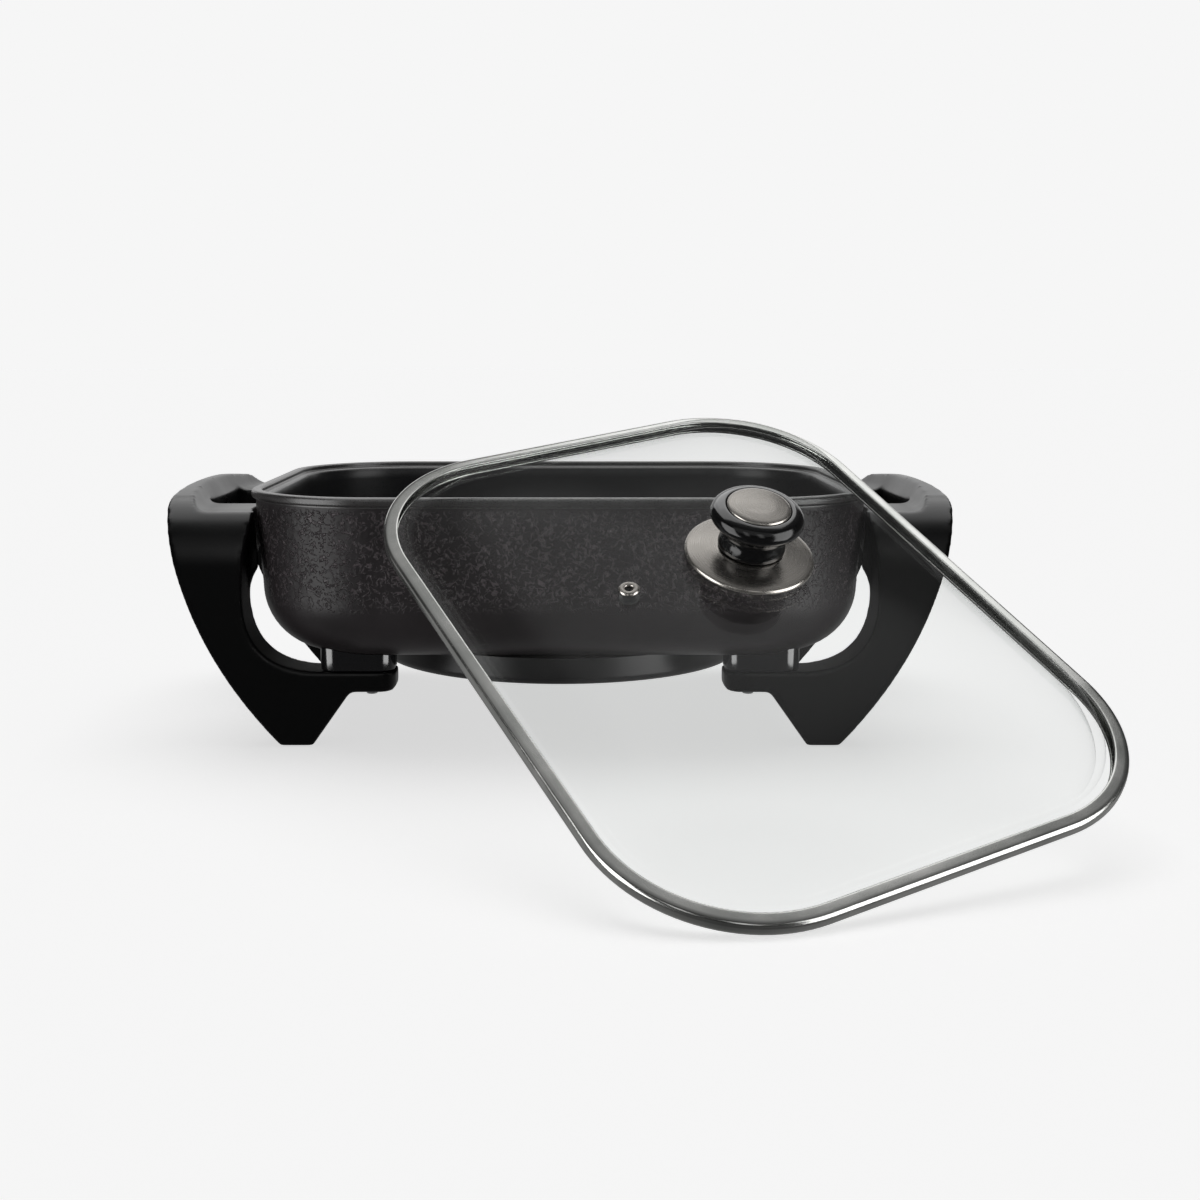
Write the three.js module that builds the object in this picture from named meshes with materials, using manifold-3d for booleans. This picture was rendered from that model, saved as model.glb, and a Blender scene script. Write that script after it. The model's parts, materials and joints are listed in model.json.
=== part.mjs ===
// Electric skillet: a deep cast pan on two handle-and-leg mouldings, with its
// glass lid leaning on the front of the rim. Millimetres, +Z up, X along the
// handles, the lid on the -Y side. The origin is on the table, at the centre of
// the footprint of the pan and the leaning lid.
import * as THREE from 'three';
import { mergeVertices } from 'three/addons/utils/BufferGeometryUtils.js';
import Module from 'manifold-3d';

const wasm = await Module();
wasm.setup();

// ---------------------------------------------------------------- driving sizes
const gap = 0.35;                 // clearance between pieces that touch

const panLength = 412;            // over the rim lip
const panDepth = 330;
const panCorner = 88;             // plan radius of the rim
const rimTop = 167;               // above the table
const panBottom = 60;
const bottomRadius = 42;          // where the wall turns into the floor
const wallThickness = 4.6;
const floorThickness = 6;
const lipHeight = 5.4;
const lipProud = 2.8;             // lip beyond the wall below it
const wallTaper = 3.6;            // the wall leans in this much on its way down
const ledgeWidth = 4.5;           // step inside the lip that the lid sits on
const ledgeDrop = 3.6;

const handleReach = 254;          // from the pan's centre to the handle's end faces
const handleBow = 9;              // how much further the middle of the grip reaches
const legSpan = 130;              // from the pan's centre to the legs' outer faces
const legThickness = 33;
const crestHeight = 166.5;        // top of the grip at its middle
const crestDrop = 9;              // the crest is this much lower at the legs
const shoulderRadius = 40;        // the grip's top rolls over into the legs' faces
const gripUnderside = 126;
const slotHalfWidth = 52;         // finger slot, along the grip
const slotOuter = 243;            // its far edge from the pan's centre
const slotEdgeHeight = 153;
const reliefDepth = 26;           // how far back the gap beside the pan's corner goes
const reliefBottom = 98;
const reliefOuter = 206.2;        // its far side at the bottom, from the pan's centre

const ledgeHeight = 36.5;         // underside of the leg's inner step
const partingHeight = 50;         // where the leg's step meets the spacer
const stepEnd = 107.5;            // inner end of the step and the spacer
const stepStart = 158;
const footOuter = 185;
const footInner = 163;
const padHeight = 4.6;
const padRadius = 7.5;
const footLift = 0.8;             // the pads stand this much below the mouldings

const coverRadius = 131;          // round heater cover under the pan
const coverBottom = 41;
const sheet = 1.2;                // sheet metal thickness

const lidLength = 394;
const lidDepth = 312;
const lidCorner = 84;
const glassThickness = 4;
const domeRise = 44.5;
const lidCentre = new THREE.Vector3(96.5, -270.5, 106.8);
const lidTurn = 11.1;             // degrees about Z
const lidTilt = 29.0;             // degrees from lying flat
const lidSpin = -72.6;            // degrees in the lid's own plane

const degrees = Math.PI / 180;

// ---------------------------------------------------------------- materials
const finish = (color, roughness, metalness) =>
  new THREE.MeshStandardMaterial({ color, roughness, metalness });
const castCoating = finish(0x2b2829, 0.62, 0.3);
const phenolic = finish(0x0b0b0c, 0.22, 0.0);
const blackSheet = finish(0x1d1d1f, 0.35, 0.4);
const steel = finish(0xb9b3aa, 0.3, 1.0);
const zincSteel = finish(0x8d8f91, 0.4, 1.0);
const brass = finish(0xb08d4b, 0.35, 1.0);
const sheathSteel = finish(0x5a5752, 0.5, 0.9);
const clearGlass = finish(0xcfd8d4, 0.05, 0.0);
const rubber = finish(0x161616, 0.85, 0.0);
const silicone = finish(0xd9d9d4, 0.6, 0.0);

// ---------------------------------------------------------------- solids
function toSolid(geometry) {
  const bare = geometry.clone();
  bare.deleteAttribute('normal');
  bare.deleteAttribute('uv');
  const merged = mergeVertices(bare, 1e-4);
  return new wasm.Manifold(new wasm.Mesh({
    numProp: 3,
    vertProperties: new Float32Array(merged.attributes.position.array),
    triVerts: new Uint32Array(merged.index.array),
  }));
}

function toGeometry(solid) {
  const mesh = solid.getMesh();
  const geometry = new THREE.BufferGeometry();
  geometry.setAttribute('position', new THREE.BufferAttribute(mesh.vertProperties, 3));
  geometry.setIndex(new THREE.BufferAttribute(mesh.triVerts, 1));
  geometry.computeVertexNormals();
  return geometry;
}

function combine(operation, first, rest) {
  const joined = rest.reduce((sum, next) => sum[operation](toSolid(next)), toSolid(first));
  return toGeometry(joined);
}
const join = (first, ...rest) => combine('add', first, rest);
const cut = (first, ...rest) => combine('subtract', first, rest);
const common = (first, ...rest) => combine('intersect', first, rest);

// Skins a row of rings with equal point counts. An open row is capped at both
// ends; a closed row joins its last ring to its first.
function loft(rings, closed = false) {
  const count = rings[0].length;
  const points = rings.flat();
  const faces = [];
  const quad = (a, b, c, d) => faces.push(a, b, c, a, c, d);
  const bands = closed ? rings.length : rings.length - 1;
  for (let band = 0; band < bands; band += 1) {
    const low = band * count;
    const high = ((band + 1) % rings.length) * count;
    for (let i = 0; i < count; i += 1) {
      const j = (i + 1) % count;
      quad(low + i, low + j, high + j, high + i);
    }
  }
  if (!closed) {
    const capCentre = (ring) => {
      const centre = new THREE.Vector3();
      ring.forEach((point) => centre.add(point));
      points.push(centre.divideScalar(count));
      return points.length - 1;
    };
    const first = capCentre(rings[0]);
    const last = capCentre(rings[rings.length - 1]);
    const top = (rings.length - 1) * count;
    for (let i = 0; i < count; i += 1) {
      const j = (i + 1) % count;
      faces.push(first, j, i);
      faces.push(last, top + i, top + j);
    }
  }
  const geometry = new THREE.BufferGeometry().setFromPoints(points);
  geometry.setIndex(faces);
  geometry.computeVertexNormals();
  return geometry;
}

// One rounded-rectangle ring, moved in by inset and then scaled about the centre.
function roundedRing(length, depth, corner, inset, height, scale = 1, arcSteps = 6) {
  const radius = Math.max(corner - inset, 2);
  const halfX = length / 2 - inset - radius;
  const halfY = depth / 2 - inset - radius;
  const ring = [];
  [[1, 1], [-1, 1], [-1, -1], [1, -1]].forEach(([signX, signY], quarter) => {
    for (let step = 0; step <= arcSteps; step += 1) {
      const angle = (quarter + step / arcSteps) * Math.PI / 2;
      ring.push(new THREE.Vector3(
        (signX * halfX + radius * Math.cos(angle)) * scale,
        (signY * halfY + radius * Math.sin(angle)) * scale,
        height,
      ));
    }
  });
  return ring;
}

function prism(outline, depth, steps = 1) {
  return new THREE.ExtrudeGeometry(outline, {
    depth, steps, bevelEnabled: false, curveSegments: 6,
  });
}

// A prism whose outline is drawn in Y and Z and which runs from low to high along X.
function prismAlongX(outline, low, high) {
  const body = prism(outline, high - low);
  body.rotateY(Math.PI / 2);
  body.rotateX(Math.PI / 2);
  return body.translate(low, 0, 0);
}

function box(x0, x1, y0, y1, z0, z1) {
  const body = new THREE.BoxGeometry(x1 - x0, y1 - y0, z1 - z0);
  return body.translate((x0 + x1) / 2, (y0 + y1) / 2, (z0 + z1) / 2);
}

// A turned piece about a vertical axis; the profile is [radius, height] pairs.
function turned(profile, segments = 32, x = 0, y = 0) {
  const points = profile.map(([radius, height]) => new THREE.Vector2(radius, height));
  const body = new THREE.LatheGeometry(points, segments);
  body.rotateX(Math.PI / 2);
  return body.translate(x, y, 0);
}

const rod = (radius, low, high, x = 0, y = 0, segments = 24) =>
  turned([[0, low], [radius, low], [radius, high], [0, high]], segments, x, y);

const tube = (inner, outer, low, high, x = 0, y = 0, segments = 32) =>
  turned([[inner, low], [outer, low], [outer, high], [inner, high], [inner, low]], segments, x, y);

// A rod lying along X.
function rodAlongX(radius, low, high, y, z, segments = 20) {
  const body = rod(radius, low, high, 0, 0, segments);
  body.rotateY(Math.PI / 2);
  return body.translate(0, y, z);
}

// ---------------------------------------------------------------- scene graph
const skillet = new THREE.Group();
const lid = new THREE.Group();

function add(name, geometry, material, parent = skillet) {
  const mesh = new THREE.Mesh(geometry, material);
  mesh.name = name;
  parent.add(mesh);
  return mesh;
}

// ---------------------------------------------------------------- pan
const wallInset = lipProud + wallTaper;
const arcCentre = panBottom + bottomRadius;

// Outside of the pan from its bottom up to just under the lip, moved out by extra.
function panOutside(extra) {
  const radius = bottomRadius + extra;
  const profile = [];
  for (let step = 0; step <= 6; step += 1) {
    const angle = step / 6 * Math.PI / 2;
    profile.push([
      wallInset + bottomRadius - radius * Math.sin(angle),
      arcCentre - radius * Math.cos(angle),
    ]);
  }
  profile.push([lipProud - extra, rimTop - lipHeight - 1.6 - extra * 0.4]);
  return profile;
}

function panRings(profile) {
  return profile.map(([inset, height]) =>
    roundedRing(panLength, panDepth, panCorner, inset, height));
}

function panInside() {
  const profile = [];
  const radius = bottomRadius - wallThickness;
  for (let step = 0; step <= 6; step += 1) {
    const angle = (1 - step / 6) * Math.PI / 2;
    profile.push([
      wallInset + wallThickness + radius * (1 - Math.sin(angle)),
      panBottom + floorThickness + radius * (1 - Math.cos(angle)),
    ]);
  }
  return profile;
}

const bossX = (stepStart + stepEnd) / 2;
const bossY = legSpan - legThickness / 2;
const screwX = stepEnd + 17;
const corners = [
  ['left_front', -1, -1],
  ['right_front', 1, -1],
  ['left_rear', -1, 1],
  ['right_rear', 1, 1],
];
const bossRadius = 8;
const bossBottom = partingHeight + gap;
const screwRadius = 2.3;
const postRadius = 5;
const postCircle = 56;
const postAngles = [60, 180, 300];
const postBottom = coverBottom + sheet + gap;

function makePan() {
  const lipInner = 7;
  const lip = [
    [0.6, rimTop - lipHeight],
    [0, rimTop - lipHeight + 1],
    [0, rimTop - 1.4],
    [1.2, rimTop],
    [lipInner - 1, rimTop],
    [lipInner, rimTop - 0.8],
    [lipInner, rimTop - ledgeDrop],
    [lipInner + ledgeWidth, rimTop - ledgeDrop - 0.4],
    [lipInner + ledgeWidth - 0.8, rimTop - ledgeDrop - 9],
  ];
  let body = loft(panRings([...panOutside(0), ...lip, ...panInside()]));
  const bosses = corners.map(([, sideX, sideY]) =>
    rod(bossRadius, bossBottom, panBottom + floorThickness - 1, sideX * screwX, sideY * bossY));
  const posts = postAngles.map((angle) => rod(
    postRadius, postBottom, panBottom + 2,
    postCircle * Math.cos(angle * degrees), postCircle * Math.sin(angle * degrees),
  ));
  body = join(body, ...bosses, ...posts);
  const bossHoles = corners.map(([, sideX, sideY]) =>
    rod(screwRadius + gap, bossBottom - 1, panBottom + 3, sideX * screwX, sideY * bossY, 16));
  const postHoles = postAngles.map((angle) => rod(
    screwRadius - 0.6 + gap, postBottom - 1, panBottom + 2,
    postCircle * Math.cos(angle * degrees), postCircle * Math.sin(angle * degrees), 16,
  ));
  return cut(body, ...bossHoles, ...postHoles);
}
add('pan_body', makePan(), castCoating);

// ---------------------------------------------------------------- handles
// Side outline of one handle and its legs at a given reach, on the +X side.
function legOutline() {
  const outline = new THREE.Shape();
  outline.moveTo(footOuter - 1.5, footLift);
  outline.quadraticCurveTo(handleReach - 5.5, 70, handleReach, 155);
  outline.quadraticCurveTo(handleReach, crestHeight, handleReach - 11, crestHeight + 1);
  outline.lineTo(slotOuter - 2, crestHeight + 1);
  outline.lineTo(slotOuter - 7, slotEdgeHeight);
  outline.lineTo(panLength / 2 - 60, slotEdgeHeight);
  outline.lineTo(panLength / 2 - 60, 118);
  outline.lineTo(199, 117);
  outline.quadraticCurveTo(207.5, 108, 206, 92);
  outline.quadraticCurveTo(203, 51, stepStart, partingHeight);
  outline.lineTo(stepEnd, partingHeight);
  outline.lineTo(stepEnd, ledgeHeight + 5);
  outline.quadraticCurveTo(stepEnd, ledgeHeight, stepEnd + 6, ledgeHeight);
  outline.lineTo(134.5, ledgeHeight);
  outline.quadraticCurveTo(137.5, ledgeHeight, 139.6, 33);
  outline.lineTo(161, 2.8);
  outline.quadraticCurveTo(162, footLift, 164, footLift);
  return outline;
}

// The crest's height along the grip, and the roll-over into the legs' faces.
function archOutline() {
  const outline = new THREE.Shape();
  const crest = (y) => crestHeight - crestDrop * (y / legSpan) ** 2;
  const rollStart = legSpan - shoulderRadius;
  outline.moveTo(-legSpan, 0);
  outline.lineTo(legSpan, 0);
  for (let step = 0; step <= 10; step += 1) {
    const angle = step / 10 * Math.PI / 2;
    const y = rollStart + shoulderRadius * Math.cos(angle);
    outline.lineTo(y, crest(y) - shoulderRadius * (1 - Math.sin(angle)));
  }
  for (let step = 1; step <= 5; step += 1) {
    const y = rollStart * (1 - 2 * step / 6);
    outline.lineTo(y, crest(y));
  }
  for (let step = 0; step <= 10; step += 1) {
    const angle = (1 - step / 10) * Math.PI / 2;
    const y = -rollStart - shoulderRadius * Math.cos(angle);
    outline.lineTo(y, crest(y) - shoulderRadius * (1 - Math.sin(angle)));
  }
  return outline;
}

// Opening between the legs, with rounded upper corners.
function betweenLegs() {
  const half = legSpan - legThickness;
  const radius = 30;
  const outline = new THREE.Shape();
  outline.moveTo(-half, -5);
  outline.lineTo(half, -5);
  outline.lineTo(half, gripUnderside - radius);
  outline.absarc(half - radius, gripUnderside - radius, radius, 0, Math.PI / 2);
  outline.lineTo(-half + radius, gripUnderside);
  outline.absarc(-half + radius, gripUnderside - radius, radius, Math.PI / 2, Math.PI);
  return outline;
}

function slotPlan() {
  const radius = 9;
  const inner = panLength / 2 - 40;
  const outline = new THREE.Shape();
  outline.moveTo(inner, -slotHalfWidth);
  outline.lineTo(slotOuter - radius, -slotHalfWidth);
  outline.absarc(slotOuter - radius, -slotHalfWidth + radius, radius, -Math.PI / 2, 0);
  outline.absarc(slotOuter - radius, slotHalfWidth - radius, radius, 0, Math.PI / 2);
  outline.lineTo(inner, slotHalfWidth);
  return outline;
}

// Bows the upper part of a handle outwards, most at the middle of the grip.
function bowGrip(geometry) {
  const position = geometry.attributes.position;
  for (let i = 0; i < position.count; i += 1) {
    const x = position.getX(i);
    const y = position.getY(i);
    const z = position.getZ(i);
    const along = 1 - Math.min((y / legSpan) ** 2, 1);
    const rise = THREE.MathUtils.smoothstep(z, 90, 150);
    const outward = THREE.MathUtils.smoothstep(x, 205, handleReach - 14);
    position.setX(i, x + handleBow * along * rise * outward);
  }
  return geometry;
}

// What a leg leaves open beside the pan's corner, above the arch between leg and pan.
function cornerRelief() {
  const outline = new THREE.Shape();
  const inside = panLength / 2 - 56;
  const above = rimTop + 20;
  outline.moveTo(inside, reliefBottom);
  outline.lineTo(reliefOuter, reliefBottom);
  outline.quadraticCurveTo(206, 130, 197, 162);
  outline.lineTo(196, above);
  outline.lineTo(inside, above);
  return outline;
}

function makeHandle() {
  const stations = 10;
  const spare = 5;                // the relief starts this far outside the leg's face
  let body = prism(legOutline(), 2 * legSpan, stations);
  body.rotateX(Math.PI / 2);
  body.translate(0, legSpan, 0);
  body = bowGrip(body);
  body = common(body, prismAlongX(archOutline(), 90, 300));
  const panClearance = loft(panRings([
    ...panOutside(2.4),
    [lipProud - 2.6, rimTop - lipHeight - 3.4],
    [-1.4, rimTop - lipHeight - 1.6],
    [-1.4, rimTop + 4],
  ]));
  const slot = prism(slotPlan(), 90).translate(0, 0, 105);
  body = cut(body, prismAlongX(betweenLegs(), 100, 300), slot, panClearance);
  for (const side of [-1, 1]) {
    const screwHole = rod(screwRadius + 0.5, 20, 60, screwX, side * bossY, 12);
    const padPocket = rod(padRadius + gap, -1, padHeight + gap, footPadX, side * bossY, 16);
    const relief = prism(cornerRelief(), reliefDepth + spare);
    relief.rotateX(Math.PI / 2);
    relief.translate(0, side > 0 ? legSpan + spare : reliefDepth - legSpan, 0);
    body = cut(body, screwHole, padPocket, relief);
  }
  return body;
}
const footPadX = (footOuter + footInner) / 2;

function mirrored(geometry) {
  const flipped = geometry.clone();
  flipped.rotateZ(Math.PI);
  return flipped;
}

const rightHandle = makeHandle();
add('handle_right', rightHandle, phenolic);
add('handle_left', mirrored(rightHandle), phenolic);

// Spacer block between each leg's step and the pan, around the pan's cast boss.
function makeSpacer(sideX, sideY) {
  const radius = 6;
  const halfX = (stepStart - stepEnd) / 2 - 0.8;
  const halfY = legThickness / 2 - 1;
  const ring = (inset, height) => roundedRing(
    2 * halfX, 2 * halfY, radius, inset, height, 1, 5,
  ).map((point) => point.add(new THREE.Vector3(bossX, bossY, 0)));
  const block = loft([
    ring(0.6, partingHeight + gap),
    ring(0, partingHeight + gap + 0.6),
    ring(0, 82),
  ]);
  const panShape = loft(panRings([...panOutside(gap), [0, rimTop]]));
  let body = cut(block, panShape, rod(bossRadius + gap, 40, 90, screwX, bossY));
  if (sideX < 0) body = body.scale(-1, 1, 1);
  if (sideY < 0) body = body.scale(1, -1, 1);
  if (sideX * sideY < 0) flipFaces(body);
  return body;
}

function flipFaces(geometry) {
  const index = geometry.index;
  for (let i = 0; i < index.count; i += 3) {
    const second = index.getX(i + 1);
    index.setX(i + 1, index.getX(i + 2));
    index.setX(i + 2, second);
  }
  geometry.computeVertexNormals();
}

for (const [corner, sideX, sideY] of corners) {
  add(`leg_spacer_${corner}`, makeSpacer(sideX, sideY), phenolic);
  const headTop = ledgeHeight - gap;
  const screw = turned([
    [0, headTop - 3.2], [3.4, headTop - 3.2], [4.6, headTop - 1.6], [4.6, headTop],
    [screwRadius, headTop], [screwRadius, panBottom + 2], [0, panBottom + 2],
  ], 12, sideX * screwX, sideY * bossY);
  add(`leg_screw_${corner}`, screw, zincSteel);
  const pad = turned([
    [0, 0], [padRadius - 1, 0], [padRadius, 1], [padRadius, padHeight], [0, padHeight],
  ], 16, sideX * footPadX, sideY * bossY);
  add(`foot_pad_${corner}`, pad, rubber);
}

// ---------------------------------------------------------------- heater
const elementRadius = 95;
const elementTube = 3.9;
const elementHeight = 51.5;
const terminalY = 9;
const sideOpeningHalf = 18;

function makeHeaterCover() {
  const top = panBottom - gap;
  const dish = turned([
    [0, coverBottom], [coverRadius - 7, coverBottom], [coverRadius - 3, coverBottom + 1],
    [coverRadius - 1, coverBottom + 4], [coverRadius, top - 1], [coverRadius, top],
    [coverRadius - sheet, top], [coverRadius - sheet - 1, coverBottom + 4.6],
    [coverRadius - 4, coverBottom + sheet + 1.4], [coverRadius - 7.4, coverBottom + sheet],
    [0, coverBottom + sheet],
  ], 48);
  const sideOpening = box(
    110, 150, -sideOpeningHalf, sideOpeningHalf, coverBottom + 4.5, top + 2,
  );
  const screwHoles = postAngles.map((angle) => rod(
    screwRadius, coverBottom - 2, coverBottom + 4,
    postCircle * Math.cos(angle * degrees), postCircle * Math.sin(angle * degrees), 16,
  ));
  return cut(dish, sideOpening, ...screwHoles);
}
add('heater_cover', makeHeaterCover(), blackSheet);

// The sheathed element: nearly a full circle, its ends turned out to the inlet.
function makeElement() {
  const openHalf = 17 * degrees;
  const points = [];
  const endX = coverRadius + 1;
  points.push(new THREE.Vector3(endX, -terminalY, elementHeight));
  points.push(new THREE.Vector3(endX - 14, -terminalY, elementHeight));
  for (let step = 0; step <= 24; step += 1) {
    const angle = -openHalf - step / 24 * (2 * Math.PI - 2 * openHalf);
    points.push(new THREE.Vector3(
      elementRadius * Math.cos(angle), elementRadius * Math.sin(angle), elementHeight,
    ));
  }
  points.push(new THREE.Vector3(endX - 14, terminalY, elementHeight));
  points.push(new THREE.Vector3(endX, terminalY, elementHeight));
  const section = new THREE.Shape().absarc(0, 0, elementTube, 0, 2 * Math.PI);
  return new THREE.ExtrudeGeometry(section, {
    steps: 46, curveSegments: 4, bevelEnabled: false,
    extrudePath: new THREE.CatmullRomCurve3(points, false, 'catmullrom', 0.5),
  });
}
add('heating_element', makeElement(), sheathSteel);

postAngles.forEach((angle, index) => {
  const headTop = coverBottom - gap;
  const screw = turned([
    [0, headTop - 1.8], [2.6, headTop - 1.8], [3.4, headTop - 0.8], [3.4, headTop],
    [screwRadius - 0.6, headTop], [screwRadius - 0.6, panBottom + 1], [0, panBottom + 1],
  ], 12, postCircle * Math.cos(angle * degrees), postCircle * Math.sin(angle * degrees));
  add(`cover_screw_${index + 1}`, screw, zincSteel);
});

// Inlet between the right legs: two pins and a sensor guide inside a shroud.
const inletStart = coverRadius + 2.5;
const inletEnd = 172;
const inletHalf = 24;
const inletLow = 43;
const inletHigh = 58.4;

function makeInletShroud() {
  const ring = (inset, height) => roundedRing(
    inletHigh - inletLow, 2 * inletHalf, 6, inset, height, 1, 5,
  );
  const upright = loft([
    ring(3, inletStart), ring(0, inletStart + 1.5), ring(0, inletEnd - 1), ring(1, inletEnd),
    ring(2, inletEnd), ring(2, inletStart + 4),
  ]);
  upright.rotateY(Math.PI / 2);
  const body = upright.translate(0, 0, (inletLow + inletHigh) / 2);
  return cut(
    body,
    rodAlongX(2.4 + gap, 120, 145, -terminalY, elementHeight),
    rodAlongX(2.4 + gap, 120, 145, terminalY, elementHeight),
    rodAlongX(3.4 + gap, 120, 145, 0, elementHeight),
  );
}
add('inlet_shroud', makeInletShroud(), phenolic);
['front', 'rear'].forEach((place, index) => {
  const y = (index === 0 ? -1 : 1) * terminalY;
  const start = coverRadius + 1 + gap;
  add(`terminal_pin_${place}`, rodAlongX(2.4, start, inletEnd - 6, y, elementHeight), brass);
});

function makeSensorGuide() {
  const guide = tube(2.4, 3.4, 64, inletEnd - 14, 0, 0, 20);
  const plug = rod(2.9, 64, 67, 0, 0, 20);
  const body = join(guide, plug);
  body.rotateY(Math.PI / 2);
  return body.translate(0, 0, elementHeight);
}
add('sensor_guide_tube', makeSensorGuide(), steel);

// ---------------------------------------------------------------- lid
// The lid is drawn flat about its own centre, with the knob's axis along +Z.
const flangeInset = 12;
const lidRing = (inset, height, scale = 1) =>
  roundedRing(lidLength, lidDepth, lidCorner, inset, height, scale, 6);

// Half of the dome's profile from the flange in to the crown.
function domeStations(inset, baseHeight) {
  const steps = 8;
  const stations = [];
  for (let step = 0; step <= steps; step += 1) {
    const angle = step / steps * Math.PI / 2;
    stations.push([
      inset,
      baseHeight + domeRise * Math.sin(angle) ** 1.25,
      Math.max(Math.cos(angle), 0.01) ** (2 / 3),
    ]);
  }
  return stations;
}

const glassHalf = glassThickness / 2;
const crown = glassHalf + domeRise;
const ventX = -1;
const ventY = -72.5;
const ventLean = 8.5;             // the glass slopes this much at the vent, degrees
const ventSeat = 42.8;            // height of the glass's upper face there
const atVent = (geometry) =>
  geometry.rotateX(ventLean * degrees).translate(ventX, ventY, ventSeat);

function makeGlass() {
  const under = domeStations(flangeInset + 4, -glassHalf).reverse();
  const over = domeStations(flangeInset, glassHalf);
  const stations = [...under, [3, -glassHalf, 1], [3, glassHalf, 1], ...over];
  const shell = loft(stations.map(([inset, height, scale]) => lidRing(inset, height, scale)));
  return cut(shell, rod(4.4, 0, 80), atVent(rod(4, -20, 20, 0, 0, 18)));
}
add('lid_glass', makeGlass(), clearGlass, lid);

function makeRimBand() {
  const slotHalf = glassHalf + 0.4;
  const halfHeight = slotHalf + 1.6;
  const profile = [
    [8, -halfHeight], [1.2, -halfHeight], [0, -halfHeight + 1.4], [0, halfHeight - 1.4],
    [1.2, halfHeight], [8, halfHeight], [8, slotHalf], [2.4, slotHalf],
    [2.4, -slotHalf], [8, -slotHalf],
  ];
  return loft(profile.map(([inset, height]) => lidRing(inset, height)), true);
}
add('lid_rim_band', makeRimBand(), steel, lid);

const plateHeight = crown + 4;
const knobBase = plateHeight + 3.4;
add('knob_washer', tube(4.2, 15, crown + gap, plateHeight - gap), silicone, lid);
add('knob_base_plate', turned([
  [4.2, plateHeight], [16, plateHeight], [31.5, plateHeight - 1.6], [34.2, plateHeight - 3],
  [35, plateHeight - 2.4], [34.4, plateHeight - 0.6], [32, plateHeight],
  [16.5, plateHeight + 3], [4.2, plateHeight + 3], [4.2, plateHeight],
], 36), steel, lid);

function makeKnob() {
  const profile = [
    [0, knobBase], [17.2, knobBase], [18.2, knobBase + 1], [17.8, knobBase + 4],
    [16.6, knobBase + 9], [17.4, knobBase + 12], [21, knobBase + 14.5], [24, knobBase + 16.5],
    [25, knobBase + 19], [24.6, knobBase + 21.5], [22.4, knobBase + 24], [19, knobBase + 25.4],
    [17.4, knobBase + 25.4], [17.4, knobBase + 24], [0, knobBase + 24],
  ];
  const hole = rod(3 + gap, knobBase - 1, knobBase + 14, 0, 0, 18);
  return cut(turned(profile, 32), hole);
}
add('knob_body', makeKnob(), phenolic, lid);
add('knob_cap', turned([
  [0, knobBase + 24 + gap], [16.9, knobBase + 24 + gap], [17, knobBase + 25.6],
  [15.6, knobBase + 26.4], [9, knobBase + 27.1], [0, knobBase + 27.4],
], 32), steel, lid);
const screwHeadTop = crown - glassThickness - gap;
add('knob_screw', turned([
  [0, screwHeadTop - 3], [5, screwHeadTop - 3], [6.4, screwHeadTop - 1.4], [6.4, screwHeadTop],
  [3, screwHeadTop], [3, knobBase + 13], [0, knobBase + 13],
], 16), zincSteel, lid);

const ventFoot = -glassThickness - 0.6;
add('vent_grommet', atVent(turned([
  [2.2, ventFoot - 1], [5.2, ventFoot - 1], [5.4, ventFoot], [3.4, ventFoot + 0.2],
  [3.4, 0.5], [5.4, 0.5], [5.6, 1], [4.6, 1.9], [2.8, 1.9], [2.2, 1.3],
  [2.2, ventFoot - 1],
], 18)), steel, lid);

// Turned in its own plane, tipped towards -Y, then swung about the vertical.
const lidAttitude = new THREE.Quaternion()
  .multiply(new THREE.Quaternion().setFromAxisAngle(new THREE.Vector3(0, 0, 1), lidTurn * degrees))
  .multiply(new THREE.Quaternion().setFromAxisAngle(new THREE.Vector3(1, 0, 0), lidTilt * degrees))
  .multiply(new THREE.Quaternion().setFromAxisAngle(new THREE.Vector3(0, 0, 1), lidSpin * degrees));
lid.quaternion.copy(lidAttitude);
lid.position.copy(lidCentre);
skillet.add(lid);

// Everything above is placed from the pan's centre; the origin is the footprint's.
const footprint = new THREE.Box3().setFromObject(skillet, true);
const middle = footprint.getCenter(new THREE.Vector3());
skillet.position.set(-Math.round(middle.x), -Math.round(middle.y), 0);

export default skillet;
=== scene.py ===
"""Electric skillet with its glass lid leaning on the front of the rim.

Every shape is drawn in millimetres, about the pan's centre or about the lid's own
centre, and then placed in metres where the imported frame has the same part.
"""
import json
import math

import bpy
from mathutils import Matrix, Vector, noise

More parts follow.
